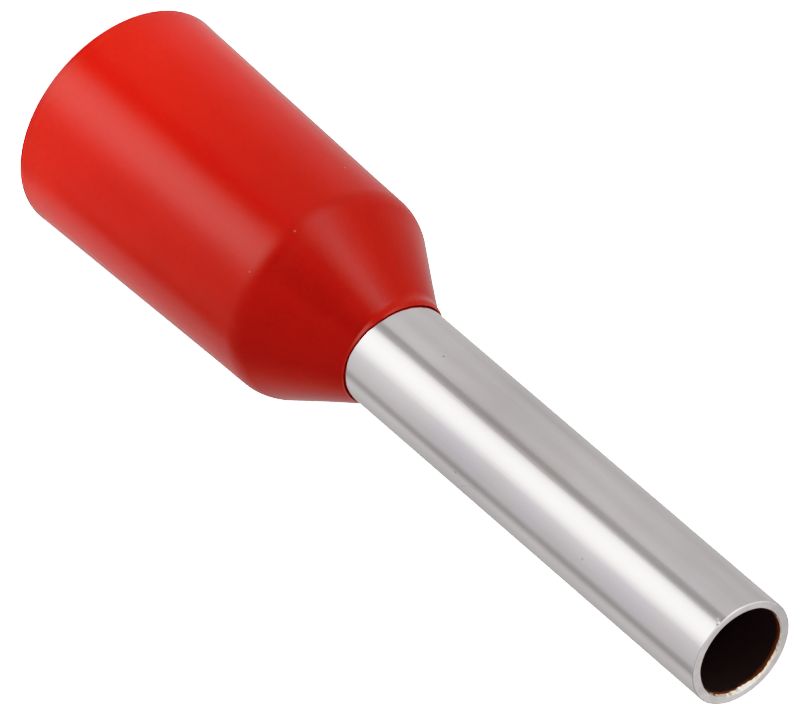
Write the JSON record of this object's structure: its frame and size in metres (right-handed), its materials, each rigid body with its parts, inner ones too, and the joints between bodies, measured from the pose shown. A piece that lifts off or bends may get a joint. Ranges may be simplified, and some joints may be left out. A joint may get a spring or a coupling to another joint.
{
  "type": "wire ferrule",
  "caption": "Insulated wire ferrule: a thin tinned copper sleeve, flared inside a tapered red plastic collar, crimped onto stranded wire before it enters a terminal.",
  "frame": {"origin": "centre of the collar's mouth rim, on the surface the ferrule stands on", "axes": "+Z along the ferrule's axis, from the collar's mouth to the sleeve's open end; X and Y lie across it and are alike"},
  "size_m": [0.0037, 0.0038, 0.0145],
  "materials": {
    "collar": "satin",
    "sleeve": "satin"
  },
  "bodies": {
    "root": {"collar": "collar", "sleeve": "sleeve"}
  },
  "joints": []
}
